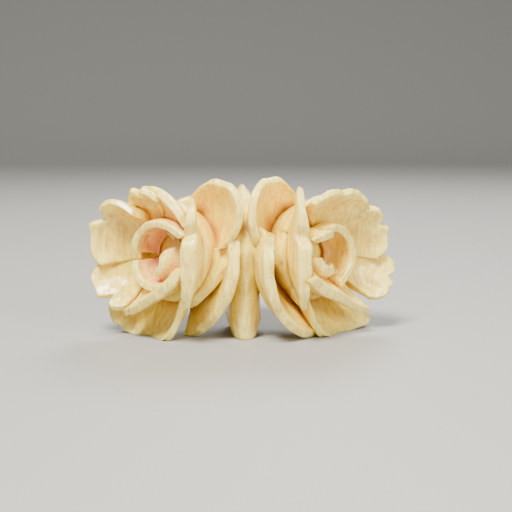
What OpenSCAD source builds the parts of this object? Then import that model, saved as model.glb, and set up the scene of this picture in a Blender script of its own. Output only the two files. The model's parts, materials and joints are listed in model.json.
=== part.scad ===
// Carved double-rose sew-on button: two open roses, back to back on one spine,
// with flat-cut lower petals and a drilled sewing shank behind.
// Millimetres, +Z up, long side along X, roses opening towards -Y.

/* [Roses] */
// Angle that each rose turns away from the front
rose_turn = 45; // [35:1:55]
// Height of the rose centres above the flat-cut base
rose_height = 7.8; // [7:0.1:9]
// Length factor of all petals
petal_reach = 1; // [0.9:0.01:1.1]
// Thickness of a petal at its root
petal_wall = 1.05; // [0.7:0.05:1.4]

/* [Spine] */
// Half width of the spine where it stands on the base
spine_half = 1.1; // [0.6:0.1:1.6]
// Thickness of the back plate
back_t = 1.6; // [1.4:0.1:3]

/* [Shank] */
// Width of the sewing shank
shank_w = 4.6; // [3.6:0.1:6]
// Depth of the sewing shank behind the back plate
shank_d = 3.2; // [2.6:0.1:4.5]
// Height of the sewing shank
shank_h = 3; // [2:0.1:5]
// Diameter of the thread hole
hole_d = 1.7; // [1:0.1:2]

/* [Hidden] */

shift = [-0.32, 1.335, 0];              // centres the whole button over the origin
root_y = 4.3;                   // where the two rose axes cross, behind the button
plate_y = 1.2;                  // front face of the back plate
spine_aside = 0.2;              // how far the spine stands to the right of the middle
plate_lift = 0.4;               // back plate's centre above the rose centres
lobe_x = 3.9;                   // place of the back plate's two round ends
lobe_r = 4.3;                   // radius of those ends
waist_h = 7.2;                  // height of the plate between them
mid_gap = 0.15;                 // how far each petal stays from the middle
cols = 10;                      // facets across a petal
rows = 7;                       // facets along a petal
notch_width = 0.16;             // width of a rim notch, in half widths of its petal
step = 0.02;                    // step along a petal that finds which way it runs
slab_t = 0.1;                   // thickness of the slabs that span the spine
slack = 20;                     // more than the whole button, for the cutting blocks

// Layers, inner to outer: root radius, root height along the rose axis, then the
// two inner control points of the curve as fractions of the way to the rim.
BUD   = [1.6, 10, 0.90, 0.20, 1.25, 0.70, 0.85];
RING  = [2.2, 10, 0.38, 0.04, 0.74, 0.46, 1.10];
OUTER = [2.6, 7.8, 0.40, 0.12, 0.76, 0.55, 1.10];
WAIST = [2.2, 5.4, 0.40, 0.10, 0.75, 0.55, 1.15];

// Petals: layer, direction, half width, rim radius, rim height, notch depth,
// notch place, rounding of the corners, lean of the rim, flatness, extra reach of
// the first and the last side, how much thicker the back and the face grow towards the
// root, stoutness, thinning of the sides, winding of one side, and centre.
// Directions run from the middle of the button (0) over the top (90).
function petal_of(n) =
  n == "left_bud_upper" ?
    [BUD, 100, 66, 2.4, 12.8, 0, 0, 0.1, 0, 0, 0, 0, 0.5, 0, 1, 0, 1.7, [1.2, -0.4]] :
  n == "left_bud_outer" ?
    [BUD, 245, 60, 2.4, 12.7, 0, 0, 0.1, 0, 0, 0, 0, 0.5, 0, 1, 0, 0, [1.2, -0.4]] :
  n == "left_bud_lower" ?
    [BUD, 330, 74, 1, 12.4, 0, 0, 0.16, 0, 0, 0, 0, 3, 0, 1, 0, 0, [1.2, -0.4]] :
  n == "left_ring_inward" ?
    [RING, 0, 45, 5.5, 12.5, 0.16, 0.5, 0, 0, 0.6, 0, 0.22, 0.9, 0, 1.6, 0.65, 0, [0, 0]] :
  n == "left_ring_top" ?
    [RING, 88, 21, 5.8, 13.2, 0.12, 0.12, 0.14, 0, 0, 0, 0, 0.9, 1, 0.72, 0, 0, [0, 0]] :
  n == "left_ring_upper" ?
    [RING, 148, 47, 6.2, 13.8, 0.2, 0, 0.12, 0, 0, -0.36, -0.04, 0.9, 1, 0.72, 0, 0, [0, 0]] :
  n == "left_ring_lower" ?
    [RING, 218, 25, 6.8, 13.8, 0.17, 0.29, 0.16, 0.1, 0, 0, 0, 0.9, 1, 0.72, 0, 0, [0, 0]] :
  n == "left_ring_bottom" ?
    [RING, 296, 48, 3.9, 13, 0.02, -0.6, 0.04, 0, 0, 0.55, 0.2, 0.8, 0.6, 1.1, 0, 0, [0, 0]] :
  n == "left_outer_top" ?
    [RING, 62, 32, 6, 12.5, 0, 0, 0.06, 0, 0, 0, 0, 0.8, 0.4, 1, 0.4, 0, [0, 0]] :
  n == "left_outer_back" ?
    [OUTER, 156, 40, 6, 10.5, 0.05, 0, 0.25, 0, 0, 0, 0, 0.4, 0, 1, 0, 0, [0, 0]] :
  n == "left_outer_base" ?
    [OUTER, 254, 46, 9.2, 11.2, 0.07, -0.37, 0, 0, 0, 0, -0.42, 0.4, 0, 1, 0.35, 0, [0, 0]] :
  n == "left_outer_inward" ?
    [OUTER, -30, 37, 5.1, 9, 0, 0, 0.02, 0, 0, 0.05, 0.26, 1, 0.6, 1, 0, 0, [0, 0]] :
  n == "left_waist_upper" ?
    [WAIST, 38, 32, 9.25, 8.5, 0.07, 0.36, 0.02, 0, 0, -0.38, -0.46, 0.8, 2.6, 0.8, 0, 0, [0, 0]] :
  n == "left_waist_lower" ?
    [WAIST, -36, 48, 7.3, 8.5, 0.04, -0.54, 0.1, 0, 0, 0.18, 0, 0.8, 1.4, 1, 0, 0, [0, 0]] :
  n == "right_bud_upper" ?
    [BUD, 62, 29, 2.1, 12.9, 0, 0, 0.16, 0, 0, 0, 0, 0.8, 0, 1.2, 0, 0.9, [1.3, -0.3]] :
  n == "right_bud_outer" ?
    [BUD, 155, 92, 2.6, 12.8, 0, 0, 0.08, 0, 0, 0, 0, 0.5, 0, 1, 0, 0, [1.3, -0.3]] :
  n == "right_bud_lower" ?
    [BUD, 300, 66, 1.1, 12.4, 0, 0, 0.12, 0, 0, 0, 0, 1.6, 0, 1.4, 0, -0.5, [1.3, -0.3]] :
  n == "right_ring_inward" ?
    [RING, 2, 49, 5.1, 12.5, 0.16, 0.38, 0, 0, 0.6, 0.06, 0.36, 0.9, 0, 1.5, 0.65, 0, [0, 0]] :
  n == "right_ring_top" ?
    [RING, 92, 45, 5.7, 13.2, 0.08, -0.08, 0.08, 0, 0, 0.2, 0, 0.9, 1, 0.72, 0, 0, [0, 0]] :
  n == "right_ring_upper" ?
    [RING, 162, 30, 6.3, 13.5, 0.11, -0.14, 0.16, 0, 0, -0.1, 0, 0.9, 1, 0.72, 0, 0, [0, 0]] :
  n == "right_ring_lower" ?
    [RING, 206, 21, 7.4, 13.8, 0.1, -0.1, 0.2, 0, 0, 0, 0, 0.9, 1, 0.72, 0, 0, [0, 0]] :
  n == "right_ring_bottom" ?
    [RING, 288, 52, 3.8, 13, 0.02, -0.6, 0.03, 0, 0, 0.85, 0.35, 0.8, 0.6, 1.2, 0, 0, [0, 0]] :
  n == "right_outer_top" ?
    [OUTER, 62, 36, 4.8, 10.6, 0, 0, 0.2, 0, 0, 0, 0, 0.8, 0, 1, 0, 0, [0, 0]] :
  n == "right_outer_back" ?
    [OUTER, 150, 40, 6, 10.5, 0.05, 0, 0.25, 0, 0, 0, 0, 0.4, 0, 1, 0, 0, [0, 0]] :
  n == "right_outer_base" ?
    [OUTER, 250, 47, 9, 11.2, 0.05, -0.2, 0, 0, 0, 0.55, -0.44, 0.4, 0, 1, 0.35, 0, [0, 0]] :
  n == "right_outer_inward" ?
    [OUTER, -22, 44, 3.9, 9.6, 0, 0, 0.02, 0, 0, 0.3, 0.4, 1.2, 0.8, 1, 0, 0, [0, 0]] :
  n == "right_waist_upper" ?
    [WAIST, 42, 36, 9, 8.5, 0.07, 0.34, 0.02, 0, 0, -0.3, -0.56, 0.8, 2.6, 0.8, 0, 0, [0, 0]] :
  [WAIST, -42, 57, 7.7, 10.4, 0.03, 0, 0.03, 0, 0, 0, -0.04, 0.8, 1.6, 1, 0, 0, [0, 0]];

function curve(a, b, c, d, t) =
  pow(1 - t, 3) * a + 3 * t * pow(1 - t, 2) * b + 3 * t * t * (1 - t) * c + pow(t, 3) * d;

// A point on one skin of a petal: s across (-1 to 1), t from root to rim, and k = -1
// for the back or 1 for the face.
function skin(p, s, t, k) =
  let (
    layer = p[0], direction = p[1], half_width = p[2], rim_radius = p[3], rim_height = p[4],
    notch = p[5], notch_place = p[6], rounding = p[7], lean = p[8], flatness = p[9],
    first_reach = p[10], last_reach = p[11], back_growth = p[12], face_growth = p[13],
    stoutness = p[14], side_thinning = p[15], winding = p[16], centre = p[17],
    reach = rim_radius * petal_reach * (1 + (s < 0 ? first_reach : last_reach) * s * s),
    root = [layer[0], layer[1]],
    rim = [reach, rim_height],
    low = root + [layer[2] * (reach - layer[0]), layer[3] * (rim_height - layer[1])],
    high = root + [layer[4] * (reach - layer[0]), layer[5] * (rim_height - layer[1])],
    cut = rounding * pow(abs(s), 3) + notch * exp(-pow((s - notch_place) / notch_width, 2))
      + lean * (1 + s) / 2,
    along = t * (1 - cut),
    middle = curve(root, low, high, rim, along),
    run = curve(root, low, high, rim, along + step) - curve(root, low, high, rim, along - step),
    growth = k > 0 ? back_growth / 2 : face_growth,
    wall = petal_wall * layer[6] * stoutness * (1 - side_thinning * s * s)
      * (1.05 - 0.3 * along) * (1 + growth * (1 - along)),
    turn = half_width * s * (1.08 - 0.08 * sin(90 * min(1, 1.25 * along))),
    wound = abs(winding) * pow((winding > 0 ? 1 - s : 1 + s) / 2, 1.5),
    radius = (middle[0] + k * wall / 2 * run[1] / norm(run) + wound) / pow(cos(turn), flatness),
    height = middle[1] - k * wall / 2 * run[0] / norm(run))
  [radius * cos(direction + turn) + centre[0], radius * sin(direction + turn) + centre[1], height];

function at(i, j, k) = (k * (cols + 1) + i) * (rows + 1) + j;

module leaf(p) {
  polyhedron(
    points = [for (k = [0, 1]) for (i = [0:cols]) for (j = [0:rows])
      skin(p, 2 * i / cols - 1, j / rows, 2 * k - 1)],
    faces = [
      for (i = [0:cols - 1]) for (j = [0:rows - 1]) each
        [[at(i, j, 0), at(i + 1, j, 0), at(i + 1, j + 1, 0)],
         [at(i, j, 0), at(i + 1, j + 1, 0), at(i, j + 1, 0)],
         [at(i, j, 1), at(i + 1, j + 1, 1), at(i + 1, j, 1)],
         [at(i, j, 1), at(i, j + 1, 1), at(i + 1, j + 1, 1)]],
      for (i = [0:cols - 1]) each
        [[at(i, 0, 0), at(i, 0, 1), at(i + 1, 0, 1)],
         [at(i, 0, 0), at(i + 1, 0, 1), at(i + 1, 0, 0)],
         [at(i, rows, 0), at(i + 1, rows, 1), at(i, rows, 1)],
         [at(i, rows, 0), at(i + 1, rows, 0), at(i + 1, rows, 1)]],
      for (j = [0:rows - 1]) each
        [[at(0, j, 0), at(0, j + 1, 1), at(0, j, 1)],
         [at(0, j, 0), at(0, j + 1, 0), at(0, j + 1, 1)],
         [at(cols, j, 0), at(cols, j, 1), at(cols, j + 1, 1)],
         [at(cols, j, 0), at(cols, j + 1, 1), at(cols, j + 1, 0)]]]);
}

// Places a rose: its own Z is the axis it opens along, its X points to the middle.
module rose(right = false) {
  translate(shift) mirror([right ? 1 : 0, 0, 0])
    translate([0, root_y, rose_height]) rotate([90, 0, -rose_turn]) children();
}

module core_shape() {
  rotate_extrude($fn = 48)
    polygon([
      [0, 3.2], [1.5, 3.5], [3, 5.2], [4, 7.2], [4.6, 8.7], [4.7, 9.4],
      [4.2, 9.65], [3, 9.45], [2, 9.6], [1.2, 9.9], [0, 10]]);
}

module core(right) {
  color("ivory") intersection() {
    rose(right) core_shape();
    translate(shift + [-slack, plate_y - slack, 0]) cube([2 * slack, slack, slack]);
  }
}

// A slab across the spine: half width, front, back and height.
module slab(half, front, back, z) {
  translate([-half, front, z]) cube([2 * half, back - front, slab_t]);
}

module spine_shape() {
  translate(shift + [spine_aside, 0, 0]) {
    hull() {
      slab(spine_half, -3.9, plate_y + back_t, 0);
      slab(0.15, -4.8, -3.8, 0);
      slab(1.6, -4.2, 0.8, 1.6);
      slab(0.15, -5.1, -4.1, 1.6);
      slab(1.3, -4.7, 0.3, 5);
      slab(0.15, -5.5, -4.5, 5);
    }
    hull() {
      slab(1.4, -5, plate_y, 5);
      slab(0.15, -5.7, -4.7, 5);
      slab(1.7, -5.8, plate_y, 8.2);
      slab(0.3, -6.3, -5.3, 8.2);
      slab(1.65, -5.2, plate_y, 10.3);
      slab(1.1, -2.8, 1.2, 12.3);
      slab(0.1, -1.1, 0.1, 13.6);
    }
  }
}

module plate_shape() {
  translate(shift + [0, plate_y + back_t, rose_height + plate_lift])
    rotate([90, 0, 0]) linear_extrude(back_t) {
      translate([-lobe_x, 0]) circle(r = lobe_r, $fn = 64);
      translate([lobe_x, 0]) circle(r = lobe_r, $fn = 64);
      square([2 * lobe_x, waist_h], center = true);
    }
}

module petal(n, right) {
  color("ivory") difference() {
    intersection() {
      rose(right) leaf(petal_of(n));
      translate(shift + [right ? mid_gap : -slack - mid_gap, plate_y - slack, 0])
        cube([slack, slack, slack]);
    }
    rose(right) core_shape();
    spine_shape();
  }
}

module back_plate() {
  color("ivory") difference() {
    plate_shape();
    spine_shape();
  }
}

module centre_spine() { color("ivory") spine_shape(); }

module sewing_shank() {
  color("ivory") translate(shift + [0, plate_y + back_t, rose_height]) difference() {
    translate([0, 0, -shank_h / 2]) linear_extrude(shank_h) {
      translate([-shank_w / 2, 0]) square([shank_w, shank_d - shank_w / 2 + 0.9]);
      intersection() {
        translate([0, shank_d - shank_w / 2]) circle(d = shank_w, $fn = 64);
        translate([-shank_w / 2, 0]) square([shank_w, shank_d]);
      }
    }
    translate([0, shank_d / 2, -shank_h]) cylinder(d = hole_d, h = 2 * shank_h, $fn = 48);
  }
}

module left_core() { core(false); }
module right_core() { core(true); }
module left_bud_upper() { petal("left_bud_upper", false); }
module left_bud_outer() { petal("left_bud_outer", false); }
module left_bud_lower() { petal("left_bud_lower", false); }
module left_ring_inward() { petal("left_ring_inward", false); }
module left_ring_top() { petal("left_ring_top", false); }
module left_ring_upper() { petal("left_ring_upper", false); }
module left_ring_lower() { petal("left_ring_lower", false); }
module left_ring_bottom() { petal("left_ring_bottom", false); }
module left_outer_top() { petal("left_outer_top", false); }
module left_outer_back() { petal("left_outer_back", false); }
module left_outer_base() { petal("left_outer_base", false); }
module left_outer_inward() { petal("left_outer_inward", false); }
module left_waist_upper() { petal("left_waist_upper", false); }
module left_waist_lower() { petal("left_waist_lower", false); }
module right_bud_upper() { petal("right_bud_upper", true); }
module right_bud_outer() { petal("right_bud_outer", true); }
module right_bud_lower() { petal("right_bud_lower", true); }
module right_ring_inward() { petal("right_ring_inward", true); }
module right_ring_top() { petal("right_ring_top", true); }
module right_ring_upper() { petal("right_ring_upper", true); }
module right_ring_lower() { petal("right_ring_lower", true); }
module right_ring_bottom() { petal("right_ring_bottom", true); }
module right_outer_top() { petal("right_outer_top", true); }
module right_outer_back() { petal("right_outer_back", true); }
module right_outer_base() { petal("right_outer_base", true); }
module right_outer_inward() { petal("right_outer_inward", true); }
module right_waist_upper() { petal("right_waist_upper", true); }
module right_waist_lower() { petal("right_waist_lower", true); }

back_plate();
centre_spine();
sewing_shank();
left_core();
right_core();
left_bud_upper();
left_bud_outer();
left_bud_lower();
left_ring_inward();
left_ring_top();
left_ring_upper();
left_ring_lower();
left_ring_bottom();
left_outer_top();
left_outer_back();
left_outer_base();
left_outer_inward();
left_waist_upper();
left_waist_lower();
right_bud_upper();
right_bud_outer();
right_bud_lower();
right_ring_inward();
right_ring_top();
right_ring_upper();
right_ring_lower();
right_ring_bottom();
right_outer_top();
right_outer_back();
right_outer_base();
right_outer_inward();
right_waist_upper();
right_waist_lower();
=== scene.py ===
"""A carved, bone-coloured sew-on button: two open roses, back to back on one narrow spine.

Every petal is a piece of its own. It stands for the CAD node of the same name, and
fills the space that node holds. Working sizes are millimetres in a rose's own frame:
Z runs along the axis that the rose opens along, X points to the middle of the button
and Y points up.
"""

from __future__ import annotations

import json
import logging
import math
from dataclasses import dataclass
from enum import Enum
from typing import NamedTuple

import bmesh
import bpy
from mathutils import Matrix, Vector, noise
from mathutils.bvhtree import BVHTree

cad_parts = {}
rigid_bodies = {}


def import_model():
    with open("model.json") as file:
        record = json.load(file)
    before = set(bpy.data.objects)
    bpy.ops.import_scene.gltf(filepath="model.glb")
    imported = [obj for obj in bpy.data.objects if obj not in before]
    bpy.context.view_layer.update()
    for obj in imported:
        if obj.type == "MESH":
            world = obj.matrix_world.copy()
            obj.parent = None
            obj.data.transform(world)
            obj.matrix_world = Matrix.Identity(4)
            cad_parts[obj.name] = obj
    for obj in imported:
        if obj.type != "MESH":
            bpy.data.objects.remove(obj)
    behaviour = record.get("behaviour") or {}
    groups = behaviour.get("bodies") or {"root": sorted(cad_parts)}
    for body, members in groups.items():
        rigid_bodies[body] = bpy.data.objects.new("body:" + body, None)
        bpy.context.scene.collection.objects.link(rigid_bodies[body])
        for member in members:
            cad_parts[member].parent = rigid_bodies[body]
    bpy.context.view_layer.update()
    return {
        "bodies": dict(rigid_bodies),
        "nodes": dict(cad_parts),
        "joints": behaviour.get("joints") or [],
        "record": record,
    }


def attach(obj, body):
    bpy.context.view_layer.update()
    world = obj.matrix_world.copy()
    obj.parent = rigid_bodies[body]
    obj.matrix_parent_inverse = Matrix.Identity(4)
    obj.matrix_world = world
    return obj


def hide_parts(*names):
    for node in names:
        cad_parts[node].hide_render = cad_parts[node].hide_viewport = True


log = logging.getLogger("button")

Colour = tuple[float, float, float]

MM = 0.001
CM = 0.01
SHIFT = Vector((-0.32, 1.335, 0.0))  # puts the button's outline over the origin
ROSE_TURN = math.radians(45.0)       # how far a rose turns away from the front
ROOT_Y = 4.3                         # where the two rose axes cross
ROSE_HEIGHT = 7.8                    # rose centres above the flat-cut base
PLATE_Y = 1.2                        # front face of the back plate
PETAL_WALL = 1.05                    # thickness at a petal's root
WELD = 0.000002                      # points closer than this, in metres, are one point
BODY = "root"


class Side(Enum):
    """Which rose a piece belongs to."""

    LEFT = "left"
    RIGHT = "right"


# ---------------------------------------------------------------- the petals' sizes


@dataclass(frozen=True)
class LayerForm:
    """The curve that every petal of one layer follows, from root to rim.

    The inner control points are fractions of the way from root to rim.
    """

    root_radius: float
    root_rise: float
    lower: tuple[float, float]
    upper: tuple[float, float]
    wall: float


class Layer(Enum):
    """The four layers of petals, from the heart of a rose to its waist."""

    BUD = LayerForm(1.6, 10, (0.9, 0.2), (1.25, 0.7), 0.85)
    RING = LayerForm(2.2, 10, (0.38, 0.04), (0.74, 0.46), 1.1)
    OUTER = LayerForm(2.6, 7.8, (0.4, 0.12), (0.76, 0.55), 1.1)
    WAIST = LayerForm(2.2, 5.4, (0.4, 0.1), (0.75, 0.55), 1.15)


@dataclass(frozen=True)
class Gouge:
    """A hollow cut by a round gouge, or a ridge left between two cuts when depth is negative."""

    across: float
    along: float
    width: float
    length: float
    depth: float

    def depth_at(self, s: float, t: float) -> float:
        """How deep the cut is at a place across and along the petal."""
        off_side, off_end = (s - self.across) / self.width, (t - self.along) / self.length
        return self.depth * math.exp(-(off_side ** 2) - (off_end ** 2))


# Cuts that petals share: a hollow in each lobe and one towards the heart, one long
# hollow, and two hollows with a rib between them.
LOBES = (
    Gouge(-0.5, 0.80, 0.26, 0.16, 0.16),
    Gouge(0.5, 0.80, 0.26, 0.16, 0.16),
    Gouge(0.0, 0.45, 0.5, 0.25, 0.12))
TROUGH = (Gouge(0.0, 0.7, 0.42, 0.4, 0.16),)
RIBS = (
    Gouge(-0.45, 0.75, 0.3, 0.4, 0.14),
    Gouge(0.5, 0.75, 0.28, 0.4, 0.14),
    Gouge(0.05, 0.7, 0.12, 0.4, -0.10))


@dataclass(frozen=True)
class PetalForm:
    """One petal: where it points, how far it reaches and how its rim is cut.

    Attributes:
        layer: The curve it follows from root to rim.
        direction: Degrees from the middle of the button, over the top.
        half_width: Degrees from its middle to either side.
        reach: Radius of the rim, in millimetres.
        rise: Height of the rim along the rose's axis, in millimetres.
        notch: Depth of the notch in the rim, as a share of the petal's length.
        notch_at: Place of the notch across the petal, from -1 to 1.
        rounding: How much shorter its two sides are than its middle.
        lean: How much shorter its last side is than its first.
        flat: How straight the petal is across, from 0, round, to 1.
        sweep_low: Extra reach of the first side, as a share of the reach.
        sweep_high: Extra reach of the last side.
        wedge: How much thicker its back grows towards the root.
        fill: How much thicker its face grows towards the root.
        twist: How far its last side turns outwards at the rim, in millimetres.
        stout: Thickness, as a share of what its layer has.
        taper: How much thinner its sides are than its middle.
        spiral: Millimetres that one side winds outwards: the first side, or the last if negative.
        centre: The point that the petal curves around, in the rose's frame.
        gouges: The hollows and ribs in its face.
    """

    layer: Layer
    direction: float
    half_width: float
    reach: float
    rise: float
    notch: float = 0.0
    notch_at: float = 0.0
    rounding: float = 0.2
    lean: float = 0.0
    flat: float = 0.0
    sweep_low: float = 0.0
    sweep_high: float = 0.0
    wedge: float = 0.0
    fill: float = 0.0
    twist: float = 0.0
    stout: float = 1.0
    taper: float = 0.0
    spiral: float = 0.0
    centre: tuple[float, float] = (0.0, 0.0)
    gouges: tuple[Gouge, ...] = ()

    def is_lobed(self) -> bool:
        """Whether the rim is scalloped."""
        return self.gouges in (LOBES, RIBS)


LEFT_PETALS: dict[str, PetalForm] = {
    "left_bud_upper": PetalForm(
        Layer.BUD, 100, 66, 2.4, 12.8,
        rounding=0.1, wedge=0.5, spiral=1.7, centre=(1.2, -0.4)),
    "left_bud_outer": PetalForm(
        Layer.BUD, 245, 60, 2.4, 12.7,
        rounding=0.1, wedge=0.5, centre=(1.2, -0.4)),
    "left_bud_lower": PetalForm(
        Layer.BUD, 330, 74, 1, 12.4,
        rounding=0.16, wedge=3, centre=(1.2, -0.4)),
    "left_ring_inward": PetalForm(
        Layer.RING, 0, 45, 5.5, 12.5,
        notch=0.16, notch_at=0.5, flat=0.6, sweep_high=0.22, wedge=0.9, stout=1.6, taper=0.65),
    "left_ring_top": PetalForm(
        Layer.RING, 88, 21, 5.8, 13.2,
        notch=0.12, notch_at=0.12, rounding=0.14, wedge=0.9, fill=1, twist=-0.15, stout=0.72,
        gouges=RIBS),
    "left_ring_upper": PetalForm(
        Layer.RING, 148, 47, 6.2, 13.8,
        notch=0.2, rounding=0.12, sweep_low=-0.36, sweep_high=-0.04, wedge=0.9, fill=1, twist=-0.15,
        stout=0.72, gouges=LOBES),
    "left_ring_lower": PetalForm(
        Layer.RING, 218, 25, 6.8, 13.8,
        notch=0.17, notch_at=0.29, rounding=0.16, lean=0.1, wedge=0.9, fill=1, twist=0.1,
        stout=0.72, gouges=LOBES),
    "left_ring_bottom": PetalForm(
        Layer.RING, 296, 48, 3.9, 13,
        notch=0.02, notch_at=-0.6, rounding=0.04, sweep_low=0.55, sweep_high=0.2, wedge=0.8,
        fill=0.6, stout=1.1),
    "left_outer_top": PetalForm(
        Layer.RING, 62, 32, 6, 12.5,
        rounding=0.06, wedge=0.8, fill=0.4, taper=0.4),
    "left_outer_back": PetalForm(
        Layer.OUTER, 156, 40, 6, 10.5,
        notch=0.05, rounding=0.25, wedge=0.4),
    "left_outer_base": PetalForm(
        Layer.OUTER, 254, 46, 9.2, 11.2,
        notch=0.07, notch_at=-0.37, sweep_high=-0.42, wedge=0.4, taper=0.35, gouges=TROUGH),
    "left_outer_inward": PetalForm(
        Layer.OUTER, -30, 37, 5.1, 9,
        rounding=0.02, sweep_low=0.05, sweep_high=0.26, wedge=1, fill=0.6, twist=2),
    "left_waist_upper": PetalForm(
        Layer.WAIST, 38, 32, 9.25, 8.5,
        notch=0.07, notch_at=0.36, rounding=0.02, sweep_low=-0.38, sweep_high=-0.46, wedge=0.8,
        fill=2.6, stout=0.8, gouges=TROUGH),
    "left_waist_lower": PetalForm(
        Layer.WAIST, -36, 48, 7.3, 8.5,
        notch=0.04, notch_at=-0.54, rounding=0.1, sweep_low=0.18, wedge=0.8, fill=1.4),
}

RIGHT_PETALS: dict[str, PetalForm] = {
    "right_bud_upper": PetalForm(
        Layer.BUD, 62, 29, 2.1, 12.9,
        rounding=0.16, wedge=0.8, stout=1.2, spiral=0.9, centre=(1.3, -0.3)),
    "right_bud_outer": PetalForm(
        Layer.BUD, 155, 92, 2.6, 12.8,
        rounding=0.08, wedge=0.5, centre=(1.3, -0.3)),
    "right_bud_lower": PetalForm(
        Layer.BUD, 300, 66, 1.1, 12.4,
        rounding=0.12, wedge=1.6, stout=1.4, spiral=-0.5, centre=(1.3, -0.3)),
    "right_ring_inward": PetalForm(
        Layer.RING, 2, 49, 5.1, 12.5,
        notch=0.16, notch_at=0.38, flat=0.6, sweep_low=0.06, sweep_high=0.36, wedge=0.9, stout=1.5,
        taper=0.65),
    "right_ring_top": PetalForm(
        Layer.RING, 92, 45, 5.7, 13.2,
        notch=0.08, notch_at=-0.08, rounding=0.08, sweep_low=0.2, wedge=0.9, fill=1, twist=-0.15,
        stout=0.72, gouges=LOBES),
    "right_ring_upper": PetalForm(
        Layer.RING, 162, 30, 6.3, 13.5,
        notch=0.11, notch_at=-0.14, rounding=0.16, sweep_low=-0.1, wedge=0.9, fill=1, twist=-0.1,
        stout=0.72, gouges=LOBES),
    "right_ring_lower": PetalForm(
        Layer.RING, 206, 21, 7.4, 13.8,
        notch=0.1, notch_at=-0.1, rounding=0.2, wedge=0.9, fill=1, twist=0.1, stout=0.72,
        gouges=LOBES),
    "right_ring_bottom": PetalForm(
        Layer.RING, 288, 52, 3.8, 13,
        notch=0.02, notch_at=-0.6, rounding=0.03, sweep_low=0.85, sweep_high=0.35, wedge=0.8,
        fill=0.6, stout=1.2),
    "right_outer_top": PetalForm(
        Layer.OUTER, 62, 36, 4.8, 10.6,
        rounding=0.2, wedge=0.8),
    "right_outer_back": PetalForm(
        Layer.OUTER, 150, 40, 6, 10.5,
        notch=0.05, rounding=0.25, wedge=0.4),
    "right_outer_base": PetalForm(
        Layer.OUTER, 250, 47, 9, 11.2,
        notch=0.05, notch_at=-0.2, sweep_low=0.55, sweep_high=-0.44, wedge=0.4, taper=0.35,
        gouges=TROUGH),
    "right_outer_inward": PetalForm(
        Layer.OUTER, -22, 44, 3.9, 9.6,
        rounding=0.02, sweep_low=0.3, sweep_high=0.4, wedge=1.2, fill=0.8, twist=2),
    "right_waist_upper": PetalForm(
        Layer.WAIST, 42, 36, 9, 8.5,
        notch=0.07, notch_at=0.34, rounding=0.02, sweep_low=-0.3, sweep_high=-0.56, wedge=0.8,
        fill=2.6, stout=0.8, gouges=TROUGH),
    "right_waist_lower": PetalForm(
        Layer.WAIST, -42, 57, 7.7, 10.4,
        notch=0.03, rounding=0.03, sweep_high=-0.04, wedge=0.8, fill=1.6),
}

# ---------------------------------------------------------------- finishes


WHITE: Colour = (1.0, 1.0, 1.0)
BLACK: Colour = (0.0, 0.0, 0.0)
# painted light: the lightest colour, laid on the most open rims
PAINTED_RIM_LIGHT: Colour = (0.97, 0.78, 0.21)
PATCH: Colour = (0.93, 0.95, 0.90)
STREAK: Colour = (0.72, 0.62, 0.44)
PORE: Colour = (0.30, 0.20, 0.10)


@dataclass(frozen=True)
class Pattern:
    """A noise pattern: cells a metre, fineness, and how it is squeezed along each axis."""

    scale: float
    detail: float
    squeeze: tuple[float, float, float] = (1.0, 1.0, 1.0)


class Grain(Enum):
    """The patterns in the bone. Streaks and tool marks run upwards."""

    MOTTLE = Pattern(420.0, 4.0)
    PATCHES = Pattern(230.0, 3.0)
    STREAKS = Pattern(2600.0, 3.0, (1.0, 1.0, 0.14))
    PORE_PLACES = Pattern(650.0, 1.0)
    POLISH = Pattern(1500.0, 4.0)
    TOOL_MARKS = Pattern(3200.0, 5.0, (1.0, 1.0, 0.35))


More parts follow.
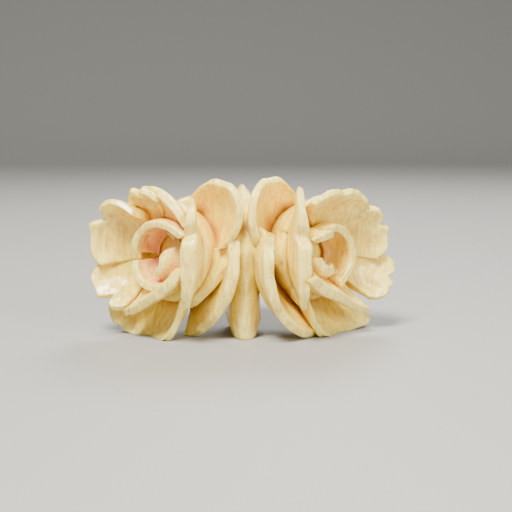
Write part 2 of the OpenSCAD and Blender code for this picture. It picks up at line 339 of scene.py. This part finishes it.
class NodeBench:
    """Lays out and joins the nodes of one material."""

    def __init__(self, material: bpy.types.Material) -> None:
        """Opens a material's nodes.

        Args:
            material: A new material.
        """
        material.use_nodes = True
        self.nodes = material.node_tree.nodes
        self.links = material.node_tree.links
        self.shader = self.nodes["Principled BSDF"]
        self.place = self.nodes.new("ShaderNodeTexCoord").outputs["Object"]

    def noise(self, grain: Grain) -> bpy.types.NodeSocket:
        """Adds a noise pattern on the piece's own coordinates.

        Args:
            grain: The pattern.

        Returns:
            The pattern's value.
        """
        pattern = grain.value
        mapping = self.nodes.new("ShaderNodeMapping")
        mapping.inputs["Scale"].default_value = pattern.squeeze
        self.links.new(self.place, mapping.inputs["Vector"])
        node = self.nodes.new("ShaderNodeTexNoise")
        node.inputs["Scale"].default_value = pattern.scale
        node.inputs["Detail"].default_value = pattern.detail
        self.links.new(mapping.outputs["Vector"], node.inputs["Vector"])
        return node.outputs["Fac"]

    def ramp(self, source: bpy.types.NodeSocket, *stops: tuple[float, Colour]) -> bpy.types.NodeSocket:
        """Adds a colour ramp.

        Args:
            source: The value that picks the colour.
            stops: Places on the ramp, each with its colour.

        Returns:
            The colour.
        """
        node = self.nodes.new("ShaderNodeValToRGB")
        elements = node.color_ramp.elements
        while len(elements) < len(stops):
            elements.new(0.5)
        for element, (position, colour) in zip(elements, stops):
            element.position = position
            element.color = (*colour, 1.0)
        self.links.new(source, node.inputs["Fac"])
        return node.outputs["Color"]

    def multiply(self, first: bpy.types.NodeSocket, second: bpy.types.NodeSocket,
                 strength: float | bpy.types.NodeSocket) -> bpy.types.NodeSocket:
        """Darkens one colour with another.

        Args:
            first: The colour that is darkened.
            second: The colour that darkens it.
            strength: How much of the second colour counts, as a number or a pattern.

        Returns:
            The darkened colour.
        """
        node = self.nodes.new("ShaderNodeMix")
        node.data_type, node.blend_type = "RGBA", "MULTIPLY"
        if isinstance(strength, float):
            node.inputs["Factor"].default_value = strength
        else:
            self.links.new(strength, node.inputs["Factor"])
        self.links.new(first, node.inputs["A"])
        self.links.new(second, node.inputs["B"])
        return node.outputs["Result"]

    def arithmetic(self, operation: str, *values: float | bpy.types.NodeSocket) -> bpy.types.NodeSocket:
        """Adds a sum on values.

        Args:
            operation: Blender's name for the sum.
            values: Numbers and sockets, in the sum's own order.

        Returns:
            The result.
        """
        node = self.nodes.new("ShaderNodeMath")
        node.operation = operation
        for entry, value in zip(node.inputs, values):
            if isinstance(value, float):
                entry.default_value = value
            else:
                self.links.new(value, entry)
        return node.outputs[0]

    def relief(self, height: bpy.types.NodeSocket, strength: float, distance: float) -> bpy.types.Node:
        """Adds a bump.

        Args:
            height: The pattern that stands out.
            strength: How much of it shows.
            distance: Its full height, in metres.

        Returns:
            The bump's node, whose normal another bump may build on.
        """
        node = self.nodes.new("ShaderNodeBump")
        node.inputs["Strength"].default_value = strength
        node.inputs["Distance"].default_value = distance
        self.links.new(height, node.inputs["Height"])
        return node


@dataclass(frozen=True)
class BoneFinish:
    """Polished bone with pores and a fine grain: cream where open, painted amber shade in the cuts,
    painted light on open rims.
    """

    name: str
    open_colour: Colour
    # painted shade: the colour of the most shut-in points, then that of points half shut in
    painted_shade_colour: Colour
    half_shade_colour: Colour
    roughness: tuple[float, float] = (0.23, 0.46)
    grain: float = 0.7
    mottling: float = 0.34
    pores_a_metre: float = 1900.0
    translucency: float = 0.45
    glow: Colour = (1.0, 0.68, 0.32)
    glow_depth: float = 0.0014
    refraction: float = 1.54
    polish: float = 0.35
    polish_roughness: float = 0.12

    def tone(self, bench: NodeBench) -> bpy.types.NodeSocket:
        """The bone's colour with painted light and shade, from how far the carving shuts a point in.

        Args:
            bench: The material's nodes.

        Returns:
            The colour, mottled so that its shades have no sharp borders.
        """
        painted_shade = bench.nodes.new("ShaderNodeAttribute")
        painted_shade.attribute_name = "painted_shade"
        lowered = bench.arithmetic("SUBTRACT", painted_shade.outputs["Fac"], self.mottling / 2)
        depth = bench.arithmetic("MULTIPLY_ADD", bench.noise(Grain.MOTTLE), self.mottling, lowered)
        # painted light on the most open points, then the cream, then painted shade deepening to amber
        return bench.ramp(depth, (0.10, PAINTED_RIM_LIGHT), (0.28, self.open_colour), (0.60, self.half_shade_colour),
                          (0.95, self.painted_shade_colour))

    def build(self) -> bpy.types.Material:
        """Makes the material.

        Returns:
            A material that reads the piece's own painted shade attribute and object coordinates.
        """
        material = bpy.data.materials.new(self.name)
        bench = NodeBench(material)
        shader = bench.shader

        patches = bench.ramp(bench.noise(Grain.PATCHES), (0.35, PATCH), (0.65, WHITE))
        patched = bench.multiply(self.tone(bench), patches, 1.0)
        streaks = bench.ramp(bench.noise(Grain.STREAKS), (0.38, STREAK), (0.56, WHITE))
        streaked = bench.multiply(patched, streaks, self.grain)
        pores = bench.nodes.new("ShaderNodeTexVoronoi")
        pores.inputs["Scale"].default_value = self.pores_a_metre
        bench.links.new(bench.place, pores.inputs["Vector"])
        dots = bench.ramp(pores.outputs["Distance"], (0.06, PORE), (0.15, WHITE))
        porous = bench.ramp(bench.noise(Grain.PORE_PLACES), (0.44, BLACK), (0.50, WHITE))
        bench.links.new(bench.multiply(streaked, dots, porous), shader.inputs["Base Color"])

        gloss = bench.nodes.new("ShaderNodeMapRange")
        gloss.inputs["To Min"].default_value, gloss.inputs["To Max"].default_value = self.roughness
        bench.links.new(bench.noise(Grain.POLISH), gloss.inputs["Value"])
        bench.links.new(gloss.outputs["Result"], shader.inputs["Roughness"])

        marks = bench.relief(bench.noise(Grain.TOOL_MARKS), 0.6, 0.00012)
        pits = bench.relief(dots, 0.5, 0.00005)
        bench.links.new(marks.outputs["Normal"], pits.inputs["Normal"])
        bench.links.new(pits.outputs["Normal"], shader.inputs["Normal"])

        shader.inputs["Subsurface Weight"].default_value = self.translucency
        shader.inputs["Subsurface Radius"].default_value = self.glow
        shader.inputs["Subsurface Scale"].default_value = self.glow_depth
        shader.inputs["IOR"].default_value = self.refraction
        shader.inputs["Coat Weight"].default_value = self.polish
        shader.inputs["Coat Roughness"].default_value = self.polish_roughness
        return material


# each finish: open cream, painted shade for the most shut-in points, and the half-shaded colour between
CREAM = BoneFinish("cream bone", (0.96, 0.70, 0.11), (0.62, 0.24, 0.015), (0.97, 0.71, 0.07))
HEART = BoneFinish("amber heart", (0.96, 0.68, 0.105), (0.60, 0.22, 0.015), (0.95, 0.62, 0.05))
BLUSH = BoneFinish("blushed heart", (0.96, 0.68, 0.14), (0.72, 0.20, 0.06), (0.94, 0.47, 0.15))


# ---------------------------------------------------------------- shaping


def bezier(start: float, lower: float, upper: float, end: float, t: float) -> float:
    """One coordinate of a cubic curve at t."""
    u = 1.0 - t
    return u * u * u * start + 3 * t * u * u * lower + 3 * t * t * u * upper + t * t * t * end


def place_rose(point: Vector, side: Side) -> Vector:
    """A point of a rose's own frame, in the button's frame.

    Args:
        point: Millimetres in the rose's frame.
        side: The rose it belongs to.

    Returns:
        Metres in the button's frame.
    """
    turned = Matrix.Rotation(-ROSE_TURN, 3, "Z") @ Matrix.Rotation(math.pi / 2, 3, "X") @ point
    placed = Vector((0.0, ROOT_Y, ROSE_HEIGHT)) + turned
    if side is Side.RIGHT:
        placed.x = -placed.x
    return (placed + SHIFT) * MM


def trim(bm: bmesh.types.BMesh, point: Vector, outward: Vector) -> None:
    """Saws a piece off flat and closes the cut.

    Args:
        bm: The piece, in metres in the button's frame.
        point: A point of the cut, in millimetres before the button is centred.
        outward: The side of the cut that is taken away.
    """
    made = bmesh.ops.bisect_plane(
        bm, geom=bm.verts[:] + bm.edges[:] + bm.faces[:], dist=1e-8,
        plane_co=(point + SHIFT) * MM, plane_no=outward, clear_outer=True)
    cut = [item for item in made["geom_cut"] if isinstance(item, bmesh.types.BMEdge)]
    if cut:
        bmesh.ops.holes_fill(bm, edges=cut, sides=0)
    bmesh.ops.recalc_face_normals(bm, faces=bm.faces)
    if bm.calc_volume(signed=True) < 0:
        bmesh.ops.reverse_faces(bm, faces=bm.faces)


def trim_back(bm: bmesh.types.BMesh) -> None:
    """Saws a piece off where the back plate begins."""
    trim(bm, Vector((0, PLATE_Y, 0)), Vector((0, 1, 0)))


def trim_foot(bm: bmesh.types.BMesh) -> None:
    """Saws a piece off at the height that the button stands on."""
    trim(bm, Vector((0, 0, 0)), Vector((0, 0, -1)))


def make_object(name: str, bm: bmesh.types.BMesh) -> bpy.types.Object:
    """Turns a bmesh into an object, and frees the bmesh.

    Args:
        name: The object's name.
        bm: The shape, in metres in the button's frame.

    Returns:
        A smooth-shaded object at the origin.
    """
    mesh = bpy.data.meshes.new(name)
    bm.to_mesh(mesh)
    bm.free()
    mesh.polygons.foreach_set("use_smooth", [True] * len(mesh.polygons))
    piece = bpy.data.objects.new(name, mesh)
    bpy.context.scene.collection.objects.link(piece)
    return piece


def dress(piece: bpy.types.Object, node: str, material: bpy.types.Material) -> None:
    """Gives a piece its finish, and lets it stand for its CAD node.

    Args:
        piece: The piece.
        node: The CAD node that it replaces.
        material: The finish.
    """
    piece.data.materials.clear()
    piece.data.materials.append(material)
    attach(piece, BODY)
    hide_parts(node)


def refine(piece: bpy.types.Object, levels: int = 1) -> None:
    """Adds a subdivision surface."""
    modifier = piece.modifiers.new("smooth", "SUBSURF")
    modifier.levels = modifier.render_levels = levels


@dataclass
class Petal:
    """One carved petal, with the carver's habits that all petals share."""

    name: str
    form: PetalForm
    side: Side
    columns: int = 40
    rows: int = 30
    notch_width: float = 0.10       # in half widths of the petal
    root_wall: float = 1.05         # thickness at the root, as a share of the layer's
    thinning: float = 0.3           # how much of that is lost on the way to the rim
    root_spread: float = 0.08       # how much wider a petal is at its root, in degrees a degree
    narrow_end: float = 0.8         # how far along it has its own width
    rim_wander: float = 0.025       # how unevenly the rim is cut, as a share of the length
    wander_pace: float = 5.0        # how quickly that changes across the petal
    scallop: float = 0.016          # depth of the small scallops of a lobed rim
    scallop_pace: float = 9.5       # how closely they follow each other
    edge_radius: float = 0.26       # how far from an edge its rounding begins
    edge_share: float = 0.62        # thickness left at the edge itself
    step: float = 0.02              # step along the petal that finds which way it runs
    back_share: float = 0.35        # how much of a gouge shows on the back
    open_root: float = 0.12         # below this the sides are buried and stay thick
    crowding: float = 1.5           # how closely the mesh's rows crowd towards the rim
    back_start: float = 0.55        # how far along the root of the back counts, for its shade
    swell: tuple[float, float] = (0.9, 0.10)      # waves a millimetre and their height
    ripple: tuple[float, float] = (2.6, 0.035)    # the same for the finer waves

    def cut_back(self, s: float) -> float:
        """How much of the petal's length is cut away at its rim.

        Args:
            s: Place across the petal, from -1 to 1.

        Returns:
            A share of the length.
        """
        form = self.form
        wander = noise.noise(Vector((s * self.wander_pace, form.direction, form.reach)))
        cut = (form.rounding * abs(s) ** 3
               + form.notch * math.exp(-(((s - form.notch_at) / self.notch_width) ** 2))
               + form.lean * (1 + s) / 2 + self.rim_wander * wander)
        if form.is_lobed():
            cut += self.scallop * (1 + math.sin(self.scallop_pace * s + form.direction))
        return cut

    def middle(self, s: float, length: float) -> tuple[float, float]:
        """The middle of the petal's wall.

        Args:
            s: Place across the petal, from -1 to 1.
            length: Place along the uncut petal, from 0 to 1.

        Returns:
            Radius and rise in the rose's frame.
        """
        form, layer = self.form, self.form.layer.value
        reach = form.reach * (1 + (form.sweep_low if s < 0 else form.sweep_high) * s * s)
        out, up = reach - layer.root_radius, form.rise - layer.root_rise
        radius = bezier(layer.root_radius, layer.root_radius + layer.lower[0] * out,
                        layer.root_radius + layer.upper[0] * out, reach, length)
        rise = bezier(layer.root_rise, layer.root_rise + layer.lower[1] * up,
                      layer.root_rise + layer.upper[1] * up, form.rise, length)
        return radius, rise

    def half_wall(self, s: float, length: float, gap: float, skin: float) -> float:
        """From the middle of the wall to one skin.

        Args:
            s: Place across the petal, from -1 to 1.
            length: Place along the uncut petal, from 0 to 1.
            gap: Millimetres to the nearest edge.
            skin: 1 on the back of the petal and -1 on its face.

        Returns:
            Millimetres, less near an edge and more towards the root.
        """
        form = self.form
        thinned = self.root_wall - self.thinning * length
        wall = PETAL_WALL * form.layer.value.wall * form.stout * thinned * (1 - form.taper * s * s)
        edge = min(1.0, gap / self.edge_radius)
        rounded = self.edge_share + (1 - self.edge_share) * math.sqrt(1 - (1 - edge) ** 2)
        growth = form.wedge if skin > 0 else form.fill
        return wall / 2 * rounded * (1 + growth * (1 - length))

    def lift(self, s: float, t: float, length: float, skin: float) -> float:
        """How far gouges and the twist move a point square to the petal.

        Args:
            s: Place across the petal, from -1 to 1.
            t: Place along the petal, 0 at its root and 1 at its rim.
            length: The same place along the uncut petal.
            skin: 1 on the back of the petal and -1 on its face.

        Returns:
            Millimetres, outwards.
        """
        depth = 0.0
        for gouge in self.form.gouges:
            depth += gouge.depth_at(s, t)
        if skin > 0:
            depth *= self.back_share
        return depth + self.form.twist * ((1 + s) / 2) ** 2 * length

    def skin_point(self, s: float, t: float, skin: float) -> Vector:
        """A point on one skin of the petal.

        Args:
            s: Place across the petal, from -1 to 1.
            t: Place along the petal, 0 at its root and 1 at its rim.
            skin: 1 on the back of the petal and -1 on its face.

        Returns:
            Millimetres in the rose's frame.
        """
        form, layer = self.form, self.form.layer.value
        kept = 1 - self.cut_back(s)
        length = t * kept
        radius, rise = self.middle(s, length)
        ahead, behind = self.middle(s, length + self.step), self.middle(s, length - self.step)
        run = math.hypot(ahead[0] - behind[0], ahead[1] - behind[1])
        normal = ((ahead[1] - behind[1]) / run, -(ahead[0] - behind[0]) / run)

        narrowed = math.sin(math.pi / 2 * min(1.0, length / self.narrow_end))
        span = form.half_width * (1 + self.root_spread - self.root_spread * narrowed)
        side_gap = (1 - abs(s)) * math.radians(span) * radius
        rim_gap = (1 - t) * kept * math.hypot(form.reach - layer.root_radius, form.rise - layer.root_rise)
        gap = min(side_gap if t > self.open_root else 1.0, rim_gap)
        half = self.half_wall(s, length, gap, skin)
        radius += skin * half * normal[0]
        rise += skin * half * normal[1]

        lift = self.lift(s, t, length, skin)
        winding = (1 - s) / 2 if form.spiral > 0 else (1 + s) / 2
        radius += abs(form.spiral) * winding ** 1.5
        radius += lift * normal[0]
        rise += lift * normal[1]
        turn = math.radians(span * s)
        radius /= math.cos(turn) ** form.flat
        angle = math.radians(form.direction) + turn
        x, y = radius * math.cos(angle), radius * math.sin(angle)
        return Vector((x + form.centre[0], y + form.centre[1], rise))

    def make_uneven(self, bm: bmesh.types.BMesh) -> None:
        """Gives the petal the slight waviness of a hand-cut surface.

        Args:
            bm: The petal, in the rose's frame, with its along layer.
        """
        along = bm.verts.layers.float["along"]
        seed = Vector((self.form.direction, self.form.rise, 3.0 if self.side is Side.LEFT else 7.0))
        for vert in bm.verts:
            out = vert.normal if vert.normal.length else Vector((0, 0, 1))
            waviness = (noise.noise(vert.co * self.swell[0] + seed) * self.swell[1]
                        + noise.noise(vert.co * self.ripple[0] + seed) * self.ripple[1])
            vert.co += out * waviness * min(1.0, vert[along] * 2)

    def build(self) -> bpy.types.Object:
        """Makes the petal: two curved grids, one for each skin, bridged along their borders.

        Returns:
            The petal's object, in place.
        """
        bm = bmesh.new()
        along = bm.verts.layers.float.new("along")
        borders = []
        for skin in (-1.0, 1.0):
            grid = bmesh.ops.create_grid(bm, x_segments=self.columns, y_segments=self.rows, size=1.0)
            made = grid["verts"]
            for vert in made:
                s = math.sin(math.pi / 2 * vert.co.x)
                t = 1 - (1 - (vert.co.y + 1) / 2) ** self.crowding
                vert[along] = t if skin < 0 else self.back_start + (1 - self.back_start) * t
                vert.co = self.skin_point(s, t, skin)
            made_set = set(made)
            borders += [edge for edge in bm.edges if edge.verts[0] in made_set and edge.is_boundary]
        bmesh.ops.bridge_loops(bm, edges=borders)
        self.make_uneven(bm)
        for vert in bm.verts:
            vert.co = place_rose(vert.co, self.side)
        trim_back(bm)
        trim_foot(bm)
        piece = make_object(self.name, bm)
        refine(piece)
        return piece


@dataclass
class RoseCore:
    """The cup that a rose's petals grow from: a solid of revolution about the rose's axis."""

    name: str
    side: Side
    outline: tuple[tuple[float, float], ...] = (
        (0.0, 3.2), (1.5, 3.5), (3.0, 5.2), (4.0, 7.2), (4.6, 8.7), (4.7, 9.4),
        (4.2, 9.65), (3.0, 9.45), (2.0, 9.6), (1.2, 9.9), (0.0, 10))
    steps: int = 48
    weld: float = 0.001

    def build(self) -> bpy.types.Object:
        """Spins the outline and places the cup.

        Returns:
            The cup's object, in place.
        """
        bm = bmesh.new()
        verts = [bm.verts.new((radius, 0.0, rise)) for radius, rise in self.outline]
        edges = [bm.edges.new(pair) for pair in zip(verts, verts[1:])]
        bmesh.ops.spin(bm, geom=verts + edges, cent=(0, 0, 0), axis=(0, 0, 1), angle=math.tau,
                       steps=self.steps, use_merge=True)
        bmesh.ops.remove_doubles(bm, verts=bm.verts, dist=self.weld)
        for vert in bm.verts:
            vert.co = place_rose(vert.co, self.side)
        trim_back(bm)
        piece = make_object(self.name, bm)
        refine(piece, 2)
        return piece


@dataclass
class Rose:
    """One open rose: its cup, and its petals from the heart outwards."""

    side: Side
    petals: dict[str, PetalForm]
    heart: bpy.types.Material
    cream: bpy.types.Material

    def build(self) -> list[bpy.types.Object]:
        """Builds and dresses the rose.

        Returns:
            Every piece of the rose.
        """
        node = f"{self.side.value}_core"
        core = RoseCore(f"{node}_carved", self.side).build()
        dress(core, node, self.cream)
        log.info("cup %s", core.name)
        pieces = [core]
        for node, form in self.petals.items():
            petal = Petal(f"{node}_carved", form, self.side).build()
            bud = form.layer is Layer.BUD
            dress(petal, node, self.heart if bud else self.cream)
            pieces.append(petal)
            log.info("petal %s", petal.name)
        return pieces


class Station(NamedTuple):
    """The spine's section at one height: half width, front of its ridge, depth of the bevels beside it."""

    height: float
    half: float
    ridge: float
    bevel: float


@dataclass
class Spine:
    """The ridged column between the roses, from its flat-cut foot to its pointed top."""

    stations: tuple[Station, ...] = (
        Station(0.0, 1.1, -4.8, 1.1), Station(1.6, 1.6, -5.1, 1.3), Station(4.2, 1.4, -5.5, 1.1),
        Station(6.0, 1.45, -5.9, 0.9), Station(8.2, 1.7, -6.3, 0.5), Station(9.4, 1.75, -6.0, 0.25),
        Station(10.4, 1.65, -5.2, 0.1), Station(11.4, 1.4, -4.1, 0.1), Station(12.3, 1.05, -2.8, 0.2),
        Station(13.0, 0.65, -1.7, 0.3), Station(13.6, 0.12, -0.9, 0.1))
    foot_back: float = 2.8
    foot_height: float = 5.0        # where the back starts to draw in to the plate
    draw_in: float = 2.0            # height that it takes to do so
    aside: float = 0.2
    squareness: float = 0.45        # below 1, a section is closer to a square than to an ellipse
    around: int = 40
    rings: int = 60

    def section(self, height: float) -> Station:
        """The section at a height, between the stations above and below it.

        Args:
            height: Millimetres above the foot.

        Returns:
            The section.
        """
        for low, high in zip(self.stations, self.stations[1:]):
            if height <= high.height:
                mix = (height - low.height) / (high.height - low.height)
                return Station(*(a + (b - a) * mix for a, b in zip(low, high)))
        return self.stations[-1]

    def back_at(self, height: float) -> float:
        """How far back the spine reaches at a height."""
        drawn = max(0.0, min(1.0, (height - self.foot_height) / self.draw_in))
        return self.foot_back - (self.foot_back - PLATE_Y) * drawn

    def squared(self, share: float) -> float:
        """Moves a sine or cosine towards its ends, which squares the section."""
        return math.copysign(abs(share) ** self.squareness, share)

    def build(self) -> bpy.types.Object:
        """Wraps a grid into the column and closes its ends.

        Returns:
            The spine's object, in place.
        """
        bm = bmesh.new()
        bmesh.ops.create_grid(bm, x_segments=self.around, y_segments=self.rings, size=1.0)
        top = self.stations[-1].height
        for vert in bm.verts:
            angle, height = math.pi * vert.co.x, (vert.co.y + 1) / 2 * top
            section, back = self.section(height), self.back_at(height)
            x = self.squared(math.sin(angle)) * section.half
            depth = self.squared(math.cos(angle))
            front = section.ridge + section.bevel * abs(x) / section.half
            y = front + (back - front) * (1 - depth) / 2
            vert.co = (Vector((x + self.aside, y, height)) + SHIFT) * MM
        bmesh.ops.remove_doubles(bm, verts=bm.verts, dist=WELD)
        bmesh.ops.holes_fill(bm, edges=bm.edges, sides=0)
        bmesh.ops.recalc_face_normals(bm, faces=bm.faces)
        return make_object("spine_carved", bm)


@dataclass
class BackFittings:
    """The back plate and the drilled shank behind it, softened from their CAD solids."""

    nodes: tuple[str, ...] = ("back_plate", "sewing_shank")
    edge: float = 0.25
    flat_angle: float = math.radians(1.0)
    sharp_angle: float = math.radians(40)

    def soften(self, node: str, frame: dict) -> bpy.types.Object:
        """Copies a CAD solid and rounds its edges.

        Args:
            node: The CAD node.

        Returns:
            The softened copy.
        """
        bm = bmesh.new()
        bm.from_mesh(frame["nodes"][node].data)
        bmesh.ops.remove_doubles(bm, verts=bm.verts, dist=WELD)
        bmesh.ops.dissolve_limit(bm, angle_limit=self.flat_angle, verts=bm.verts, edges=bm.edges)
        sharp = [edge for edge in bm.edges
                 if len(edge.link_faces) == 2 and edge.calc_face_angle() > self.sharp_angle]
        bmesh.ops.bevel(bm, geom=sharp, offset=self.edge * MM, offset_type="OFFSET", segments=4,
                        profile=0.5, affect="EDGES", material=-1, clamp_overlap=True)
        return make_object(f"{node}_softened", bm)

    def build(self, frame: dict, material: bpy.types.Material) -> list[bpy.types.Object]:
        """Builds both fittings.

        Args:
            material: Their finish.

        Returns:
            The two pieces.
        """
        pieces = []
        for node in self.nodes:
            piece = self.soften(node, frame)
            dress(piece, node, material)
            pieces.append(piece)
            log.info("fitting %s", piece.name)
        return pieces


# ---------------------------------------------------------------- painted shade in the cuts


@dataclass
class CavityShade:
    """Works out how far the carving shuts each point in, and keeps it on the piece as an attribute of
    painted shade.
    """

    rays: int = 28
    range_mm: float = 5.0
    lift_off: float = 0.00006       # metres between the surface and the start of a ray
    far_loss: float = 0.6           # how much less a far surface shuts a point in than a near one
    # the next two are shares of the painted shade: from nearby surfaces, and from a petal's root
    shut_weight: float = 0.8
    root_weight: float = 0.5
    root_end: float = 0.95          # how far along a petal its root still counts
    plain_root: float = 0.1         # what counts on a piece that isn't a petal

    def directions(self) -> list[Vector]:
        """Spreads directions over a half ball about Z, denser towards its top.

        Returns:
            Unit vectors.
        """
        spread = []
        for i in range(self.rays):
            height = math.sqrt((i + 0.5) / self.rays)
            turn = i * math.pi * (3 - math.sqrt(5))
            flat = math.sqrt(1 - height * height)
            spread.append(Vector((flat * math.cos(turn), flat * math.sin(turn), height)))
        return spread

    def surroundings(self, pieces: list[bpy.types.Object]) -> BVHTree:
        """Joins all the pieces for the rays to meet.

        Args:
            pieces: All the pieces of the button.

        Returns:
            The tree that rays are cast in.
        """
        verts: list[Vector] = []
        faces: list[list[int]] = []
        for piece in pieces:
            start = len(verts)
            verts += [vert.co.copy() for vert in piece.data.vertices]
            faces += [[start + i for i in poly.vertices] for poly in piece.data.polygons]
        return BVHTree.FromPolygons(verts, faces)

    def apply(self, pieces: list[bpy.types.Object]) -> None:
        """Writes the attribute on every piece.

        Args:
            pieces: All the pieces of the button.
        """
        tree, directions = self.surroundings(pieces), self.directions()
        reach = self.range_mm * MM
        for piece in pieces:
            values = []
            along = piece.data.attributes.get("along")
            for index, vert in enumerate(piece.data.vertices):
                turn = vert.normal.to_track_quat("Z", "Y")
                start = vert.co + vert.normal * self.lift_off
                shut = 0.0
                for direction in directions:
                    distance = tree.ray_cast(start, turn @ direction, reach)[3]
                    if distance is not None:
                        shut += 1.0 - self.far_loss * distance / reach
                # painted shade also deepens towards a petal's root, which lies deep in the rose
                root = self.plain_root
                if along:
                    root = max(0.0, 1 - along.data[index].value / self.root_end)
                values.append(self.shut_weight * shut / len(directions) + self.root_weight * root)
            attribute = piece.data.attributes.new("painted_shade", "FLOAT", "POINT")
            attribute.data.foreach_set("value", values)


# ---------------------------------------------------------------- light and camera


@dataclass(frozen=True)
class Lamp:
    """A soft square light. Its place and size are in centimetres, and it faces a target in metres."""

    name: str
    place: tuple[float, float, float]
    power: float
    colour: Colour = WHITE
    size: float = 8
    target: tuple[float, float, float] = (0, 0, 0.008)

    def build(self) -> None:
        """Places the lamp."""
        data = bpy.data.lights.new(self.name, "AREA")
        data.size, data.energy, data.color = self.size * CM, self.power, self.colour
        lamp = bpy.data.objects.new(self.name, data)
        bpy.context.scene.collection.objects.link(lamp)
        lamp.location = Vector(self.place) * CM
        away = Vector(self.place) * CM - Vector(self.target)
        lamp.rotation_euler = away.to_track_quat("Z", "Y").to_euler()


@dataclass
class Studio:
    """A plain pale floor, soft lights and the camera. The camera's sizes are in millimetres."""

    aim: tuple[float, float, float] = (0.93, -1.665, 7.4)
    distance: float = 95.0
    turn: float = -4.0
    tilt: float = 8.0
    lens: float = 73.97
    lamps: tuple[Lamp, ...] = (
        Lamp("key", (-6, -13, 22), 2.3, (1.0, 0.96, 0.86)),
        Lamp("fill", (15, -17, 9), 0.5, (1.0, 0.97, 0.9)),
        Lamp("rim", (4, 14, 16), 0.45))
    sky: tuple[float, float, float, float] = (0.82, 0.80, 0.75, 1)
    sky_strength: float = 0.45
    floor_colour: tuple[float, float, float, float] = (0.30, 0.30, 0.29, 1)
    floor_half: tuple[float, float] = (0.8, 0.6)    # metres
    floor_bend: float = 0.30                        # where the floor starts to rise, in metres
    floor_rise: float = 3.0
    floor_gap: float = 0.00001                      # keeps the floor just below the button's foot

    def camera(self) -> None:
        """Places the camera."""
        data = bpy.data.cameras.new("camera")
        data.lens, data.sensor_width, data.clip_start = self.lens, 36.0, 0.001
        camera = bpy.data.objects.new("camera", data)
        bpy.context.scene.collection.objects.link(camera)
        turn, tilt = math.radians(self.turn), math.radians(self.tilt)
        back = Vector((math.sin(turn) * math.cos(tilt), -math.cos(turn) * math.cos(tilt), math.sin(tilt)))
        camera.location = (Vector(self.aim) + back * self.distance) * MM
        camera.rotation_euler = back.to_track_quat("Z", "Y").to_euler()
        bpy.context.scene.camera = camera

    def floor(self) -> None:
        """Lays the floor, which curves up behind the button."""
        bm = bmesh.new()
        bmesh.ops.create_grid(bm, x_segments=40, y_segments=60, size=1.0)
        for vert in bm.verts:
            y = vert.co.y * self.floor_half[1]
            past_bend = max(0.0, y - self.floor_bend)
            height = past_bend * past_bend * self.floor_rise - self.floor_gap
            vert.co = Vector((vert.co.x * self.floor_half[0], y, height))
        floor = make_object("floor", bm)
        material = bpy.data.materials.new("pale floor")
        material.use_nodes = True
        shader = material.node_tree.nodes["Principled BSDF"]
        shader.inputs["Base Color"].default_value = self.floor_colour
        shader.inputs["Roughness"].default_value = 0.6
        floor.data.materials.append(material)

    def sky_light(self) -> None:
        """Lights the button evenly from all around."""
        world = bpy.data.worlds.new("world")
        world.use_nodes = True
        background = world.node_tree.nodes["Background"]
        background.inputs["Color"].default_value = self.sky
        background.inputs["Strength"].default_value = self.sky_strength
        bpy.context.scene.world = world

    def build(self) -> None:
        """Builds the studio."""
        self.floor()
        self.camera()
        for lamp in self.lamps:
            lamp.build()
        self.sky_light()


def main() -> None:
    """Builds the button around its frame."""
    logging.basicConfig(level=logging.INFO, format="%(message)s")
    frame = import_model()
    Studio().build()
    cream, heart, blush = CREAM.build(), HEART.build(), BLUSH.build()
    pieces = Rose(Side.LEFT, LEFT_PETALS, blush, cream).build()
    pieces += Rose(Side.RIGHT, RIGHT_PETALS, heart, cream).build()
    spine = Spine().build()
    dress(spine, "centre_spine", cream)
    log.info("spine %s", spine.name)
    pieces += [spine] + BackFittings().build(frame, cream)
    CavityShade().apply(pieces)
    log.info("%d pieces shaded", len(pieces))
    bpy.context.view_layer.update()


if __name__ == "__main__":
    main()
